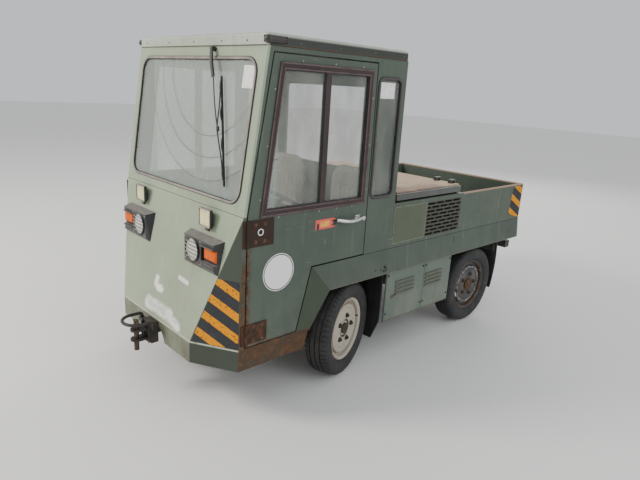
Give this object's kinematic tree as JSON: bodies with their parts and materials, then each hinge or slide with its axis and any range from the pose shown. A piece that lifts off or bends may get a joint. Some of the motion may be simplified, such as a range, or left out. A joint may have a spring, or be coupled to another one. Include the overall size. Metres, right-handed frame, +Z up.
{
  "type": "baggage tug",
  "caption": "Airport baggage tug with a closed cab, hinged doors, steered front wheels, engine cover, open load bed and tow jaws.",
  "frame": {"origin": "on the ground under the middle of the whole vehicle", "axes": "the vehicle's front faces -Y, its left side faces +X and +Z is up"},
  "size_m": [1.372, 3.181, 1.901],
  "materials": {
    "front_paint": "faded matt grey-green",
    "side_paint": "faded matt olive green",
    "roof_paint": "faded matt grey-green",
    "inner_paint": "worn dark green",
    "louvre_paint": "faded matt green",
    "cover_paint": "matt grey",
    "chassis_paint": "matt black, dusty",
    "axle_iron": "dark and dusty",
    "engine_iron": "oily grey",
    "tow_iron": "worn black",
    "pin_steel": "brown with rust",
    "lamp_black": "black",
    "lamp_glass": "pale lamp glass",
    "amber_plastic": "amber",
    "red_plastic": "red",
    "window_glass": "clear",
    "seal_rubber": "black",
    "tyre_rubber": "dusty black",
    "rim_cream": "cream",
    "rim_dark": "dark, rusty in the middle",
    "handle_chrome": "polished",
    "seat_cover": "pale cloth",
    "cover_wood": "weathered plywood"
  },
  "bodies": {
    "body": {"chassis_frame": "chassis_paint", "front_axle": "axle_iron", "rear_axle": "axle_iron", "engine_block": "engine_iron", "nose_panel": "front_paint", "windscreen_frame": "front_paint", "cab_side_left": "side_paint", "cab_side_right": "side_paint", "cab_rear_wall": "side_paint", "cab_roof": "roof_paint", "cab_floor": "inner_paint", "wheelhouses": "chassis_paint", "cab_glass": "window_glass", "window_seals": "seal_rubber", "fenders": "side_paint", "bed_walls": "side_paint", "rear_wall": "side_paint", "bed_floor": "inner_paint", "louvre_panels": "louvre_paint", "lamp_housings": "lamp_black", "lamp_glasses": "lamp_glass", "indicators": "amber_plastic", "roof_lamps": "lamp_black", "rear_lamps": "red_plastic", "wiper": "lamp_black", "dashboard": "inner_paint", "seats": "seat_cover", "mudflaps": "seal_rubber", "tow_jaw_front": "tow_iron", "tow_jaw_rear": "tow_iron"},
    "door_left_body": {"door_left": "side_paint", "door_glass_left": "window_glass", "door_handle_left": "handle_chrome"},
    "door_right_body": {"door_right": "side_paint", "door_glass_right": "window_glass", "door_handle_right": "handle_chrome"},
    "steer_left_body": {"knuckle_left": "axle_iron"},
    "steer_right_body": {"knuckle_right": "axle_iron"},
    "tie_rod_body": {"tie_rod": "axle_iron"},
    "wheel_front_left": {"tyre_front_left": "tyre_rubber", "rim_front_left": "rim_cream"},
    "wheel_front_right": {"tyre_front_right": "tyre_rubber", "rim_front_right": "rim_cream"},
    "wheel_rear_left": {"tyre_rear_left": "tyre_rubber", "rim_rear_left": "rim_dark"},
    "wheel_rear_right": {"tyre_rear_right": "tyre_rubber", "rim_rear_right": "rim_dark"},
    "steering_wheel_body": {"steering_wheel": "lamp_black"},
    "pin_front_body": {"tow_pin_front": "pin_steel"},
    "pin_rear_body": {"tow_pin_rear": "pin_steel"},
    "cover_body": {"engine_cover": "cover_paint", "cover_board": "cover_wood"}
  },
  "joints": [
    {"name": "door_left_hinge", "type": "hinge", "parent": "body", "child": "door_left_body", "pos_m": [0.623, -1.229, 0.7], "axis": [0, 0, -1], "range_deg": [0, 80]},
    {"name": "door_right_hinge", "type": "hinge", "parent": "body", "child": "door_right_body", "pos_m": [-0.623, -1.229, 0.7], "axis": [0, 0, 1], "range_deg": [0, 80]},
    {"name": "steer_left", "type": "hinge", "parent": "body", "child": "steer_left_body", "pos_m": [0.52, -0.4875, 0.287], "axis": [0, 0, 1], "range_deg": [-53, 17]},
    {"name": "steer_right", "type": "hinge", "parent": "body", "child": "steer_right_body", "pos_m": [-0.52, -0.4875, 0.287], "axis": [0, 0, 1], "range_deg": [-53, 17]},
    {"name": "tie_rod_pivot", "type": "hinge", "parent": "steer_left_body", "child": "tie_rod_body", "pos_m": [0.4891, -0.39239, 0.273], "axis": [0, 0, 1], "range_deg": [-17, 53]},
    {"name": "steering_wheel_turn", "type": "hinge", "parent": "body", "child": "steering_wheel_body", "pos_m": [0.3, -0.7975, 1.062], "axis": [0, 0.4695, 0.8829], "range_deg": [-636, 204]},
    {"name": "roll_front_left", "type": "hinge", "parent": "steer_left_body", "child": "wheel_front_left", "pos_m": [0.53617, -0.48225, 0.287], "axis": [0.9511, 0.309, 0], "continuous": true},
    {"name": "roll_front_right", "type": "hinge", "parent": "steer_right_body", "child": "wheel_front_right", "pos_m": [-0.53617, -0.49275, 0.287], "axis": [0.9511, 0.309, 0], "continuous": true},
    {"name": "roll_rear_left", "type": "hinge", "parent": "body", "child": "wheel_rear_left", "pos_m": [0.537, 0.8775, 0.287], "axis": [1, 0, 0], "continuous": true},
    {"name": "roll_rear_right", "type": "hinge", "parent": "body", "child": "wheel_rear_right", "pos_m": [-0.537, 0.8775, 0.287], "axis": [1, 0, 0], "continuous": true},
    {"name": "tow_pin_front_lift", "type": "slide", "parent": "body", "child": "pin_front_body", "axis": [0, 0, 1], "range_m": [0, 0.12]},
    {"name": "tow_pin_rear_lift", "type": "slide", "parent": "body", "child": "pin_rear_body", "axis": [0, 0, 1], "range_m": [0, 0.105]},
    {"name": "engine_cover_hinge", "type": "hinge", "parent": "body", "child": "cover_body", "pos_m": [0, -0.1345, 1.076], "axis": [1, 0, 0], "range_deg": [0, 75]}
  ],
  "couplings": [
    {"joint": "steer_right", "follows": "steer_left", "ratio": 1},
    {"joint": "tie_rod_pivot", "follows": "steer_left", "ratio": -1},
    {"joint": "steering_wheel_turn", "follows": "steer_left", "ratio": 12}
  ]
}
